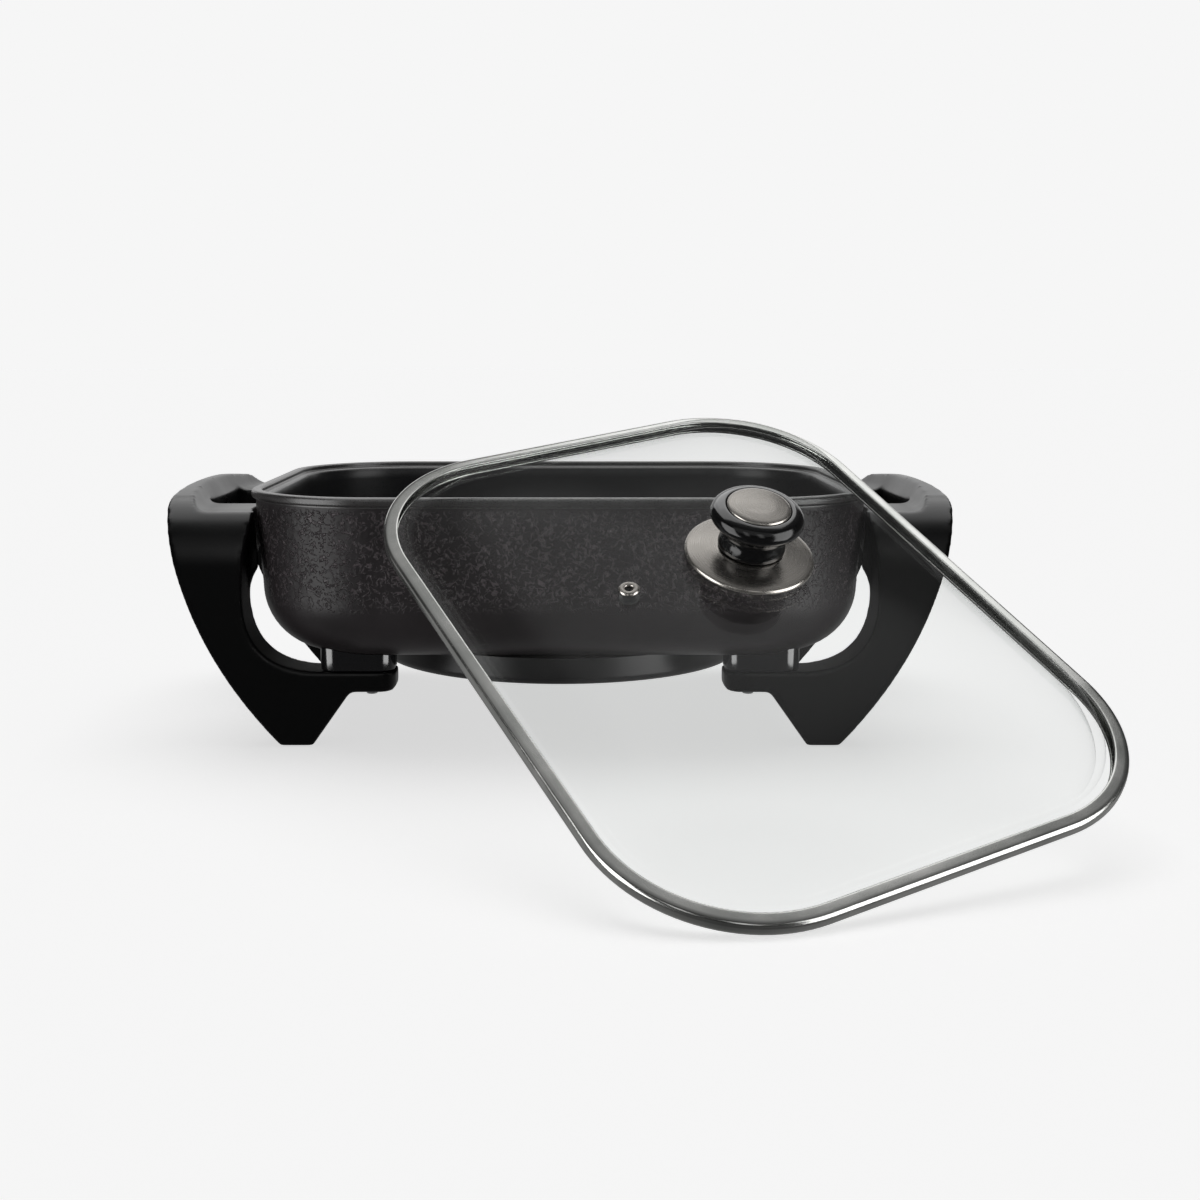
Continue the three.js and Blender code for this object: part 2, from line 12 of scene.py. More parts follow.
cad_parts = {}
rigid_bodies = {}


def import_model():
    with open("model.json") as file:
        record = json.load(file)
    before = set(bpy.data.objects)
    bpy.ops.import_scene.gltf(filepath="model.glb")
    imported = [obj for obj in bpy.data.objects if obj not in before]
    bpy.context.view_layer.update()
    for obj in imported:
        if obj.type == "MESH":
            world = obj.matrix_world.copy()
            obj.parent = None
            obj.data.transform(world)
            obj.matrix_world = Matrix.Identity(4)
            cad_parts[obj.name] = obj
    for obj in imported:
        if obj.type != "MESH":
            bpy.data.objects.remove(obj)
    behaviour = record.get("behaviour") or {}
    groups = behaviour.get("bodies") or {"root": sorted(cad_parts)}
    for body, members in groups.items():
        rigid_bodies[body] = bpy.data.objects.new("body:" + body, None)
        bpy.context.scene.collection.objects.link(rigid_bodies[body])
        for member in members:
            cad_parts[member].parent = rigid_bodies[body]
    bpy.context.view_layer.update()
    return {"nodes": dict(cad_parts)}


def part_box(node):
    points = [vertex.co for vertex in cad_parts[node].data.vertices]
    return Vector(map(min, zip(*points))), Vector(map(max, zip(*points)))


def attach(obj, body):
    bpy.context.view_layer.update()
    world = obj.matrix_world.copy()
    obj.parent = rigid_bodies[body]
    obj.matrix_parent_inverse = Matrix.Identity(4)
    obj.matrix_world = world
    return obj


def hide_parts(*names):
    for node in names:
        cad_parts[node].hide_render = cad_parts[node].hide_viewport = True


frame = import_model()

MM = 0.001
GAP = 0.35                       # clearance between pieces that touch
FINE = 1

# ------------------------------------------------------------------ the frame
pan_low, pan_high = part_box("pan_body")
pan_centre = (pan_low + pan_high) / 2
PAN_PLACE = Matrix.Translation((pan_centre.x, pan_centre.y, 0))


def lid_place():
    """The lid's own axes: X along it, Y across it and Z through its knob."""
    band = [v.co for v in frame["nodes"]["lid_rim_band"].data.vertices]
    centre = sum(band, Vector()) / len(band)
    spread = Matrix(((0, 0, 0), (0, 0, 0), (0, 0, 0)))
    for point in band:
        arm = point - centre
        spread += Matrix([[a * b for b in arm] for a in arm])
    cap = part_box("knob_cap")
    normal = ((cap[0] + cap[1]) / 2 - centre).normalized()
    along = normal.orthogonal().normalized()
    for _ in range(60):
        along = spread @ along
        along = (along - normal * along.dot(normal)).normalized()
    if along.z > 0:
        along.negate()
    across = normal.cross(along)
    axes = Matrix((along, across, normal)).transposed()
    return Matrix.Translation(centre) @ axes.to_4x4()


LID_PLACE = lid_place()

# ------------------------------------------------------------------ sizes, mm
PAN_LENGTH = (pan_high.x - pan_low.x) / MM
PAN_DEPTH = (pan_high.y - pan_low.y) / MM
PAN_CORNER = 88
RIM_TOP = pan_high.z / MM
PAN_BOTTOM = 60
BOTTOM_RADIUS = 42
WALL = 4.6
FLOOR = 6
LIP_HEIGHT = 5.4
LIP_PROUD = 2.8
LIP_INNER = 7                    # width of the lip's top, out to the pan's edge
WALL_TAPER = 3.6
LEDGE_WIDTH = 4.5
LEDGE_DROP = 3.6
WALL_INSET = LIP_PROUD + WALL_TAPER
ARC_CENTRE = PAN_BOTTOM + BOTTOM_RADIUS

HANDLE_REACH = 254
HANDLE_BOW = 9
LEG_SPAN = 130
LEG_THICKNESS = 33
CREST_HEIGHT = 166.5
CREST_DROP = 9
SHOULDER = 40
GRIP_UNDERSIDE = 126
SLOT_HALF = 52
SLOT_OUTER = 243
SLOT_CORNER = 9
SLOT_EDGE_HEIGHT = 153
RELIEF_DEPTH = 26                # how far back the gap beside the pan's corner goes
RELIEF_BOTTOM = 98
RELIEF_OUTER = 206.2
LEDGE_HEIGHT = 36.5
PARTING_HEIGHT = 50
STEP_END = 107.5
STEP_START = 158
STEP_ROUND = 11
SPACER_SHORT = 1.6               # the spacer is this much shorter than the leg's step
FOOT_OUTER = 185
FOOT_INNER = 163
FOOT_LIFT = 0.8
BOSS_Y = LEG_SPAN - LEG_THICKNESS / 2
SCREW_X = STEP_END + 17
FOOT_X = (FOOT_OUTER + FOOT_INNER) / 2
LEG_HOLE = 2.8                   # radius of the hole for a leg's screw
BOSS_HOLE = 8.9                  # radius of a spacer's hole round the pan's boss
PAD_POCKET = 7.9                 # radius of the pocket for a foot pad

COVER_RADIUS = 131
COVER_BOTTOM = 41
COVER_RING = 0.7                 # how far the cover's ring stands in from its flat
INLET_HALF = 18                  # half the width of the cover's opening for the inlet

LID_LENGTH = 394
LID_DEPTH = 312
LID_CORNER = 84
GLASS = 4
DOME_RISE = 44.5
FLANGE = 12
CROWN = GLASS / 2 + DOME_RISE
PLATE = CROWN + 4
KNOB = PLATE + 3.4
VENT_LEAN = 8.5                  # the glass slopes this much at the vent, degrees
VENT_MIDDLE = -1.85              # height of the vent's middle about its seat


# ------------------------------------------------------------------ meshes
def mesh_object(name, points, faces):
    mesh = bpy.data.meshes.new(name)
    mesh.from_pydata([tuple(p) for p in points], [], faces)
    mesh.update()
    piece = bpy.data.objects.new(name, mesh)
    bpy.context.scene.collection.objects.link(piece)
    return piece


def finish_piece(piece, body, material, replaced=(), place=PAN_PLACE, sharp=None):
    """Scales a piece drawn in millimetres, places it and gives it to the frame."""
    own = piece.data.attributes.new("own", "FLOAT_VECTOR", "POINT")
    own.data.foreach_set("vector", [c * MM for v in piece.data.vertices for c in v.co])
    piece.data.transform(place @ Matrix.Scale(MM, 4))
    piece.data.materials.clear()
    for one in material if isinstance(material, (list, tuple)) else [material]:
        piece.data.materials.append(one)
    piece.data.shade_smooth()
    if sharp:
        piece.data.set_sharp_from_angle(angle=math.radians(sharp))
    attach(piece, body)
    if replaced:
        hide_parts(*replaced)
    return piece


def baked(piece):
    """The piece with its modifiers applied."""
    graph = bpy.context.evaluated_depsgraph_get()
    mesh = bpy.data.meshes.new_from_object(piece.evaluated_get(graph))
    old = piece.data
    piece.modifiers.clear()
    piece.data = mesh
    bpy.data.meshes.remove(old)
    return piece


def combine(piece, operation, *others):
    for other in others:
        change = piece.modifiers.new("combine", "BOOLEAN")
        change.operation = operation
        change.solver = "EXACT"
        change.object = other
        baked(piece)
        bpy.data.objects.remove(other)
    return piece


def quad_rows(rows, width, closed_rows=False, closed_width=True):
    """Faces over a grid of points stored row after row."""
    faces = []
    for row in range(rows if closed_rows else rows - 1):
        low = row * width
        high = (row + 1) % rows * width
        for i in range(width if closed_width else width - 1):
            j = (i + 1) % width
            faces.append((low + i, low + j, high + j, high + i))
    return faces


def loft(name, rings, closed=False):
    """Skins rings of equal size; open rows are capped with flat faces."""
    width = len(rings[0])
    points = [p for ring in rings for p in ring]
    faces = quad_rows(len(rings), width, closed_rows=closed)
    if not closed:
        faces.append(tuple(reversed(range(width))))
        faces.append(tuple(range((len(rings) - 1) * width, len(rings) * width)))
    return mesh_object(name, points, faces)


def soften(profile, radius, steps=5):
    """Rounds every inner corner of an open outline."""
    corners = [Vector(p) for p in profile]
    out = [corners[0]]
    for before, corner, after in zip(corners, corners[1:], corners[2:]):
        back = before - corner
        ahead = after - corner
        start = corner + back.normalized() * min(radius, back.length / 2.05)
        end = corner + ahead.normalized() * min(radius, ahead.length / 2.05)
        for step in range(steps + 1):
            t = step / steps
            out.append(start * (1 - t) ** 2 + corner * 2 * t * (1 - t) + end * t * t)
    out.append(corners[-1])
    return out


def arc(x, y, radius, start, end, steps):
    """Points on a circle's arc, angles in degrees."""
    angles = [math.radians(start + (end - start) * i / steps) for i in range(steps + 1)]
    return [Vector((x + radius * math.cos(a), y + radius * math.sin(a))) for a in angles]


def curve(start, control, end, steps):
    """A quadratic curve without its first point."""
    start, control, end = Vector(start), Vector(control), Vector(end)
    out = []
    for step in range(1, steps + 1):
        t = step / steps
        out.append(start * (1 - t) ** 2 + control * 2 * t * (1 - t) + end * t * t)
    return out


def turned(name, profile, segments=96, x=0, y=0):
    """A turned piece; the profile is radius and height, from axis to axis."""
    points = []
    rows = []
    for radius, height in profile:
        if radius < 1e-6:
            rows.append([len(points)])
            points.append((x, y, height))
            continue
        rows.append(list(range(len(points), len(points) + segments)))
        for i in range(segments):
            angle = 2 * math.pi * i / segments
            points.append((x + radius * math.cos(angle), y + radius * math.sin(angle), height))
    faces = []
    for low, high in zip(rows, rows[1:]):
        for i in range(segments):
            j = (i + 1) % segments
            if len(low) == 1 and len(high) == 1:
                continue
            if len(low) == 1:
                faces.append((low[0], high[j], high[i]))
            elif len(high) == 1:
                faces.append((low[i], low[j], high[0]))
            else:
                faces.append((low[i], low[j], high[j], high[i]))
    return mesh_object(name, points, faces)


def turned_ring(name, profile, segments=96, x=0, y=0):
    """A turned ring whose profile closes on itself."""
    points = []
    for radius, height in profile:
        for i in range(segments):
            angle = 2 * math.pi * i / segments
            points.append((x + radius * math.cos(angle), y + radius * math.sin(angle), height))
    return mesh_object(name, points, quad_rows(len(profile), segments, closed_rows=True))


def prism(name, outline, low, high, axis, steps=1):
    """An outline carried along an axis: drawn in XZ for Y, YZ for X and XY for Z."""
    put = {
        "X": lambda p, t: (t, p[0], p[1]),
        "Y": lambda p, t: (p[0], t, p[1]),
        "Z": lambda p, t: (p[0], p[1], t),
    }[axis]
    rings = []
    for step in range(steps + 1):
        level = low + (high - low) * step / steps
        rings.append([put(p, level) for p in outline])
    if axis == "Y":
        rings.reverse()
    return loft(name, rings)


# ------------------------------------------------------------------ outlines
def rounded_path(length, depth, corner, count):
    """Evenly spaced points round a rounded rectangle, each with its outward normal."""
    runs = [depth - 2 * corner, length - 2 * corner] * 2
    turn = corner * math.pi / 2
    total = sum(runs) + 4 * turn
    path = []
    for i in range(count):
        left = total * i / count
        for side in range(4):
            out = Vector((math.cos(side * math.pi / 2), math.sin(side * math.pi / 2)))
            along = Vector((-out.y, out.x))
            reach = (length if side % 2 == 0 else depth) / 2
            if left < runs[side]:
                path.append((out * reach + along * (left - runs[side] / 2), out))
                break
            left -= runs[side]
            if left < turn:
                angle = left / corner
                normal = out * math.cos(angle) + along * math.sin(angle)
                middle = out * (reach - corner) + along * runs[side] / 2
                path.append((middle + normal * corner, normal))
                break
            left -= turn
    return path


def path_ring(path, inset, height, scale=1.0):
    ring = []
    for point, normal in path:
        flat = (point - normal * inset) * scale
        ring.append(Vector((flat.x, flat.y, height)))
    return ring


# ------------------------------------------------------------------ materials
def material(name, color, roughness, metallic=0.0, **sockets):
    made = bpy.data.materials.new(name)
    made.use_nodes = True
    shader = made.node_tree.nodes["Principled BSDF"]
    shader.inputs["Base Color"].default_value = (*color, 1)
    shader.inputs["Roughness"].default_value = roughness
    shader.inputs["Metallic"].default_value = metallic
    for socket, value in sockets.items():
        shader.inputs[socket.replace("_", " ")].default_value = value
    return made


class Nodes:
    """Short names for adding nodes to one material."""

    def __init__(self, made):
        self.tree = made.node_tree
        self.shader = self.tree.nodes["Principled BSDF"]

    def add(self, kind, **settings):
        node = self.tree.nodes.new(kind)
        for key, value in settings.items():
            if key in node.inputs:
                node.inputs[key].default_value = value
            else:
                setattr(node, key, value)
        return node

    def link(self, source, target):
        self.tree.links.new(source, target)

    def place(self):
        """Coordinates of the piece, in metres."""
        return self.add("ShaderNodeTexCoord").outputs["Object"]

    def own(self):
        """Coordinates about the piece's own upright axis, in metres."""
        return self.add("ShaderNodeAttribute", attribute_name="own").outputs["Vector"]

    def noise(self, vector, scale, detail=3.0, roughness=0.5, **settings):
        node = self.add("ShaderNodeTexNoise", **settings)
        node.inputs["Scale"].default_value = scale
        node.inputs["Detail"].default_value = detail
        node.inputs["Roughness"].default_value = roughness
        self.link(vector, node.inputs["Vector"])
        return node.outputs["Fac"]

    def spread(self, value, low, high, from_low=0.3, from_high=0.7):
        node = self.add("ShaderNodeMapRange")
        node.inputs["From Min"].default_value = from_low
        node.inputs["From Max"].default_value = from_high
        node.inputs["To Min"].default_value = low
        node.inputs["To Max"].default_value = high
        self.link(value, node.inputs["Value"])
        return node.outputs["Result"]

    def mix_color(self, value, first, second):
        node = self.add("ShaderNodeMix", data_type="RGBA")
        node.inputs[6].default_value = (*first, 1)
        node.inputs[7].default_value = (*second, 1)
        self.link(value, node.inputs["Factor"])
        return node.outputs[2]

    def math(self, operation, first, second=None):
        node = self.add("ShaderNodeMath", operation=operation)
        for index, value in enumerate([first, second]):
            if value is None:
                continue
            if isinstance(value, (int, float)):
                node.inputs[index].default_value = value
            else:
                self.link(value, node.inputs[index])
        return node.outputs[0]

    def coat(self, color, roughness, normal):
        for socket, look in (("Base Color", color), ("Roughness", roughness), ("Normal", normal)):
            self.link(look, self.shader.inputs[socket])

    def bump(self, height, distance, strength=1.0, under=None):
        node = self.add("ShaderNodeBump")
        node.inputs["Distance"].default_value = distance
        node.inputs["Strength"].default_value = strength
        self.link(height, node.inputs["Height"])
        if under is not None:
            self.link(under, node.inputs["Normal"])
        return node.outputs["Normal"]


def squiggles(n, where):
    """The cast pattern, 0 to 1: short crooked ridges about 1.3 mm wide."""
    lines = n.noise(where, 210, 1.5, 0.5, Distortion=0.9)
    from_line = n.math("ABSOLUTE", n.math("SUBTRACT", lines, 0.5))
    ridge = n.spread(from_line, 1, 0, 0.015, 0.06)
    broken = n.spread(n.noise(where, 330, 1), 0, 1, 0.4, 0.5)
    return n.math("MULTIPLY", ridge, broken)


def pan_coating():
    """Cast aluminium under a black non-stick coat: satin, faintly warm, with a cast pattern whose
    ridges carry a painted highlight.
    """
    made = material("pan_coating", (0.012, 0.011, 0.011), 0.4, Specular_IOR_Level=0.3)
    n = Nodes(made)
    where = n.place()
    patterned = n.add("ShaderNodeAttribute", attribute_name="patterned").outputs["Fac"]
    ridge = n.math("MULTIPLY", squiggles(n, where), patterned)
    patches = n.noise(where, 28, 4)
    grain = n.noise(where, 2600, 3, 0.6)
    coat = n.mix_color(n.spread(patches, 0, 1), (0.009, 0.0075, 0.008), (0.015, 0.0125, 0.0135))
    # Painted highlight: the pattern's ridges are painted up to 3.2 times lighter, standing in for
    # the glint they catch, and the rest of the coat 0.85 times as light.
    raised = n.add("ShaderNodeMix", data_type="RGBA", blend_type="MULTIPLY")
    raised.inputs["Factor"].default_value = 1.0
    n.link(coat, raised.inputs[6])
    n.link(n.spread(ridge, 0.85, 3.2, 0.0, 1.0), raised.inputs[7])
    rough = n.math("ADD", n.spread(patches, 0.33, 0.4), n.spread(grain, -0.04, 0.06))
    rubbed = n.math("SUBTRACT", rough, n.math("MULTIPLY", ridge, 0.08))
    relief = n.bump(ridge, 0.0008, 1.0)
    n.coat(raised.outputs[2], rubbed, n.bump(grain, 0.00005, 0.7, relief))
    return made


def pan_lining():
    """The smooth non-stick lining inside the pan."""
    made = material("pan_lining", (0.008, 0.008, 0.0085), 0.3, Specular_IOR_Level=0.3)
    n = Nodes(made)
    where = n.place()
    patches = n.noise(where, 35, 3)
    grain = n.noise(where, 1900, 2, 0.6)
    n.coat(
        n.mix_color(n.spread(patches, 0, 1), (0.0065, 0.0065, 0.007), (0.01, 0.01, 0.0105)),
        n.spread(grain, 0.26, 0.36),
        n.bump(grain, 0.00003, 0.5),
    )
    return made


def rim_coating():
    """The rim, where the coat is thinner and the metal shows through a little."""
    made = material("rim_coating", (0.014, 0.013, 0.013), 0.3, Specular_IOR_Level=0.8)
    n = Nodes(made)
    where = n.place()
    patches = n.noise(where, 60, 4)
    grain = n.noise(where, 1500, 2)
    n.coat(
        n.mix_color(n.spread(patches, 0, 1), (0.01, 0.009, 0.009), (0.018, 0.017, 0.017)),
        n.spread(grain, 0.25, 0.36),
        n.bump(grain, 0.00003, 0.5),
    )
    return made


def phenolic(name, roughness, level):
    """Moulded black phenolic with a faint orange peel and fine dust."""
    made = material(name, (0.002, 0.002, 0.002), roughness, Specular_IOR_Level=level)
    n = Nodes(made)
    where = n.place()
    peel = n.noise(where, 160, 2)
    haze = n.noise(where, 22, 4)
    specks = n.noise(where, 3000, 1)
    dusty = n.spread(specks, 0, 1, 0.6, 0.8)
    n.coat(
        n.mix_color(dusty, (0.0018, 0.0018, 0.002), (0.005, 0.005, 0.005)),
        n.spread(haze, roughness - 0.04, roughness + 0.04),
        n.bump(peel, 0.00012, 0.2),
    )
    return made


def black_enamel():
    """The sheet cover under the pan: black enamel, semi-gloss."""
    made = material("black_enamel", (0.008, 0.008, 0.008), 0.32, Specular_IOR_Level=0.36)
    n = Nodes(made)
    where = n.place()
    peel = n.noise(where, 240, 3)
    haze = n.noise(where, 30, 4)
    n.coat(
        n.mix_color(n.spread(haze, 0, 1), (0.007, 0.007, 0.007), (0.011, 0.0105, 0.011)),
        n.spread(haze, 0.28, 0.38),
        n.bump(peel, 0.00008, 0.35),
    )
    return made


def spun_steel():
    """Steel with brush lines that run in circles about the piece's own Z axis."""
    made = material("spun_steel", (0.6, 0.57, 0.53), 0.26, 1.0)
    n = Nodes(made)
    split = n.add("ShaderNodeSeparateXYZ")
    n.link(n.own(), split.inputs[0])
    x, y, z = split.outputs
    radius = n.math("SQRT", n.math("ADD", n.math("MULTIPLY", x, x), n.math("MULTIPLY", y, y)))
    angle = n.math("ARCTAN2", y, x)
    lines = n.add("ShaderNodeCombineXYZ")
    n.link(n.math("MULTIPLY", n.math("ADD", radius, z), 4200), lines.inputs[0])
    n.link(n.math("MULTIPLY", angle, 1.6), lines.inputs[1])
    brush = n.noise(lines.outputs[0], 1.0, 4, 0.7)
    smears = n.noise(n.place(), 90, 4)
    n.coat(
        n.mix_color(n.spread(brush, 0, 1), (0.5, 0.47, 0.43), (0.68, 0.65, 0.61)),
        n.math("ADD", n.spread(brush, 0.2, 0.3), n.spread(smears, -0.04, 0.06)),
        n.bump(brush, 0.00004, 0.5),
    )
    return made


def band_steel():
    """The lid's rolled steel band: polished, with fine rolling lines along it."""
    made = material("band_steel", (0.62, 0.62, 0.6), 0.2, 1.0)
    n = Nodes(made)
    split = n.add("ShaderNodeSeparateXYZ")
    n.link(n.own(), split.inputs[0])
    lines = n.add("ShaderNodeCombineXYZ")
    n.link(n.math("MULTIPLY", split.outputs[0], 12), lines.inputs[0])
    n.link(n.math("MULTIPLY", split.outputs[1], 12), lines.inputs[1])
    n.link(n.math("MULTIPLY", split.outputs[2], 3600), lines.inputs[2])
    rolled = n.noise(lines.outputs[0], 1.0, 3, 0.6)
    smears = n.noise(n.place(), 45, 4)
    n.coat(
        n.mix_color(n.spread(smears, 0, 1), (0.5, 0.51, 0.49), (0.66, 0.66, 0.64)),
        n.math("ADD", n.spread(rolled, 0.14, 0.22), n.spread(smears, -0.03, 0.05)),
        n.bump(rolled, 0.00003, 0.35),
    )
    return made


def worn_metal(name, color, roughness, scale=700):
    """Small plain metal parts: plated screws, brass pins, the element's sheath."""
    made = material(name, color, roughness, 1.0)
    n = Nodes(made)
    where = n.place()
    stain = n.noise(where, scale / 4, 4)
    grain = n.noise(where, scale * 3, 2)
    dark = tuple(c * 0.6 for c in color)
    light = tuple(min(c * 1.15, 1) for c in color)
    n.coat(
        n.mix_color(n.spread(stain, 0, 1), dark, light),
        n.spread(grain, roughness - 0.08, roughness + 0.12),
        n.bump(grain, 0.00003, 0.5),
    )
    return made


def soft_rubber(name, color, roughness):
    made = material(name, color, roughness)
    n = Nodes(made)
    where = n.place()
    dust = n.noise(where, 200, 4)
    grain = n.noise(where, 3200, 2)
    light = tuple(min(c * 1.8 + 0.01, 1) for c in color)
    n.coat(
        n.mix_color(n.spread(dust, 0, 0.6), color, light),
        n.spread(grain, roughness - 0.1, roughness + 0.1),
        n.bump(grain, 0.00006, 0.6),
    )
    return made


def lid_glass():
    """Clear tempered glass, seen as a thin pane: it mirrors more towards grazing."""
    made = material("lid_glass", (0.9, 0.95, 0.93), 0.04, Specular_IOR_Level=0.5)
    n = Nodes(made)
    where = n.place()
    film = n.noise(where, 14, 5, 0.6)
    clear = n.add("ShaderNodeBsdfTransparent", Color=(0.99, 0.995, 0.992, 1))
    mirror = n.add("ShaderNodeBsdfGlossy", Color=(1, 1, 1, 1))
    n.link(n.spread(film, 0.02, 0.09), mirror.inputs["Roughness"])
    facing = n.add("ShaderNodeLayerWeight", Blend=0.5).outputs["Facing"]
    steep = n.math("POWER", facing, 5.0)
    share = n.math("ADD", n.math("MULTIPLY", steep, 0.45), 0.035)
    mix = n.add("ShaderNodeMixShader")
    n.link(share, mix.inputs[0])
    n.link(clear.outputs[0], mix.inputs[1])
    n.link(mirror.outputs[0], mix.inputs[2])
    output = n.tree.nodes["Material Output"]
    n.link(mix.outputs[0], output.inputs["Surface"])
    n.tree.nodes.remove(n.shader)
    return made


FINISH = {
    "coating": pan_coating(),
    "lining": pan_lining(),
    "rim": rim_coating(),
    "phenolic": phenolic("phenolic", 0.3, 0.34),
    "gloss": phenolic("gloss_phenolic", 0.13, 0.5),
    "enamel": black_enamel(),
    "spun": spun_steel(),
    "band": band_steel(),
    "zinc": worn_metal("zinc_plate", (0.5, 0.5, 0.51), 0.35),
    "brass": worn_metal("brass", (0.62, 0.45, 0.2), 0.28),
    "sheath": worn_metal("element_sheath", (0.2, 0.18, 0.16), 0.45, 300),
    "rubber": soft_rubber("foot_rubber", (0.015, 0.015, 0.015), 0.75),
    "silicone": soft_rubber("seal_silicone", (0.6, 0.6, 0.57), 0.5),
    "glass": lid_glass(),
}


# ------------------------------------------------------------------ pan
def outside_profile(extra=0.0, arc_steps=14):
    """Inset and height of the pan's outside, from its bottom to the start of the wall."""
    radius = BOTTOM_RADIUS + extra
    profile = []
    for step in range(arc_steps + 1):
        angle = step / arc_steps * math.pi / 2
        profile.append((
            WALL_INSET + BOTTOM_RADIUS - radius * math.sin(angle),
            ARC_CENTRE - radius * math.cos(angle),
        ))
    return profile


WRINKLE_HEIGHT = 0.3
COAT_KIND, LINED_KIND, RIM_KIND = 0, 1, 2    # the pan's materials, by face


def wrinkle(point):
    """Height of the cast pattern, 0 to 1: short raised squiggles."""
    warp = noise.noise_vector(point / 9.0) * 2.6
    ridge = 1 - min(abs(noise.noise((point + warp) / 3.1)) * 4.2, 1)
    broken = noise.noise(point / 5.5 + Vector((7, 3, 1)))
    strength = min(max(broken * 1.8 + 0.75, 0), 1)
    return ridge * ridge * strength


def make_pan():
    """The pan in one skin, with four times the points where the wall is textured."""
    coarse = 320 // FINE
    fine = coarse * 4
    wall_foot = 92.0
    wall_head = RIM_TOP - LIP_HEIGHT - 2.2
    paths = {
        count: rounded_path(PAN_LENGTH, PAN_DEPTH, PAN_CORNER, count)
        for count in (coarse, coarse * 2, fine)
    }
    points = []
    patterned = []
    faces = []
    kinds = []
    last = None

    def ring(count, inset, height, relief=0.0, kind=COAT_KIND):
        """Adds one ring, and the faces that join it to the ring before."""
        nonlocal last
        first = len(points)
        for spot, normal in paths[count]:
            base = spot - normal * inset
            rise = 0.0
            if relief > 0:
                rise = wrinkle(Vector((base.x, base.y, height)))
            flat = base + normal * (rise * relief * WRINKLE_HEIGHT)
            points.append((flat.x, flat.y, height))
            patterned.append(relief)
        if last is not None:
            join(last, (first, count), kind)
        last = (first, count)

    def join(low, high, kind):
        (low_first, low_count), (high_first, high_count) = low, high
        few = min(low_count, high_count)
        for i in range(few):
            j = (i + 1) % few
            if low_count == high_count:
                made = [(low_first + i, low_first + j, high_first + j, high_first + i)]
            elif low_count < high_count:
                middle = high_first + 2 * i + 1
                made = [
                    (low_first + i, middle, high_first + 2 * i),
                    (low_first + i, low_first + j, middle),
                    (low_first + j, high_first + 2 * j, middle),
                ]
            else:
                middle = low_first + 2 * i + 1
                made = [
                    (low_first + 2 * i, middle, high_first + i),
                    (middle, high_first + j, high_first + i),
                    (middle, low_first + 2 * j, high_first + j),
                ]
            faces.extend(made)
            kinds.extend([kind] * len(made))

    wall_rows = int((wall_head - wall_foot) / (0.95 * FINE))
    slope = WALL_TAPER / (wall_head - ARC_CENTRE)

    def wall_inset(height):
        if height < ARC_CENTRE:
            drop = ARC_CENTRE - height
            return WALL_INSET + BOTTOM_RADIUS - math.sqrt(BOTTOM_RADIUS ** 2 - drop ** 2)
        return WALL_INSET - (height - ARC_CENTRE) * slope

    for inset, height in outside_profile():
        if height < wall_foot - 3:
            ring(coarse, inset, height)
    ring(coarse * 2, wall_inset(wall_foot - 2), wall_foot - 2)
    for row in range(wall_rows + 1):
        height = wall_foot + (wall_head - wall_foot) * row / wall_rows
        fade_in = min(max((height - wall_foot) / 16, 0), 1)
        fade_out = min(max((wall_head - height) / 3, 0), 1)
        ring(fine, wall_inset(height), height, fade_in * fade_out)
    ring(coarse * 2, LIP_PROUD + 0.1, wall_head + 0.8)
    under = RIM_TOP - LIP_HEIGHT
    lip = soften([
        (LIP_PROUD + 0.2, wall_head + 1.6), (LIP_PROUD, under - 0.4), (0.5, under), (0, under + 1),
        (0, RIM_TOP - 1.6), (1.4, RIM_TOP), (LIP_INNER - 1, RIM_TOP), (LIP_INNER, RIM_TOP - 0.9),
        (LIP_INNER, RIM_TOP - LEDGE_DROP + 0.4), (LIP_INNER + 0.6, RIM_TOP - LEDGE_DROP),
        (LIP_INNER + LEDGE_WIDTH - 1.2, RIM_TOP - LEDGE_DROP - 0.3),
        (LIP_INNER + LEDGE_WIDTH, RIM_TOP - LEDGE_DROP - 2),
    ], 0.9, 4)
    for inset, height in lip:
        ring(coarse, inset, height, kind=RIM_KIND)
    inner_radius = BOTTOM_RADIUS - WALL
    wall_low = WALL_INSET + WALL
    top = RIM_TOP - LEDGE_DROP - 2
    for row in range(1, 9):
        share = row / 8
        height = top + (PAN_BOTTOM + FLOOR + inner_radius - top) * share
        inset = LIP_INNER + LEDGE_WIDTH + (wall_low - LIP_INNER - LEDGE_WIDTH) * share
        ring(coarse, inset, height, kind=LINED_KIND)
    for step in range(1, 15):
        angle = (1 - step / 14) * math.pi / 2
        ring(
            coarse,
            wall_low + inner_radius * (1 - math.sin(angle)),
            PAN_BOTTOM + FLOOR + inner_radius * (1 - math.cos(angle)),
            kind=LINED_KIND,
        )
    faces.append(tuple(range(last[0], last[0] + last[1])))
    kinds.append(LINED_KIND)
    faces.append(tuple(reversed(range(coarse))))
    kinds.append(COAT_KIND)
    pan = mesh_object("pan", points, faces)
    layer = pan.data.attributes.new("patterned", "FLOAT", "POINT")
    layer.data.foreach_set("value", patterned)
    pan.data.polygons.foreach_set("material_index", kinds)
    return pan


def make_pan_bosses():
    """The cast bosses and posts under the pan that take the screws."""
    outline = soften([(0, 50.4), (7.4, 50.4), (8, 51), (8.6, 64), (0, 64)], 0.5, 3)
    pieces = []
    for side_x in (-1, 1):
        for side_y in (-1, 1):
            pieces.append(turned(
                "pan_boss", outline, 40, side_x * SCREW_X, side_y * BOSS_Y,
            ))
    return pieces


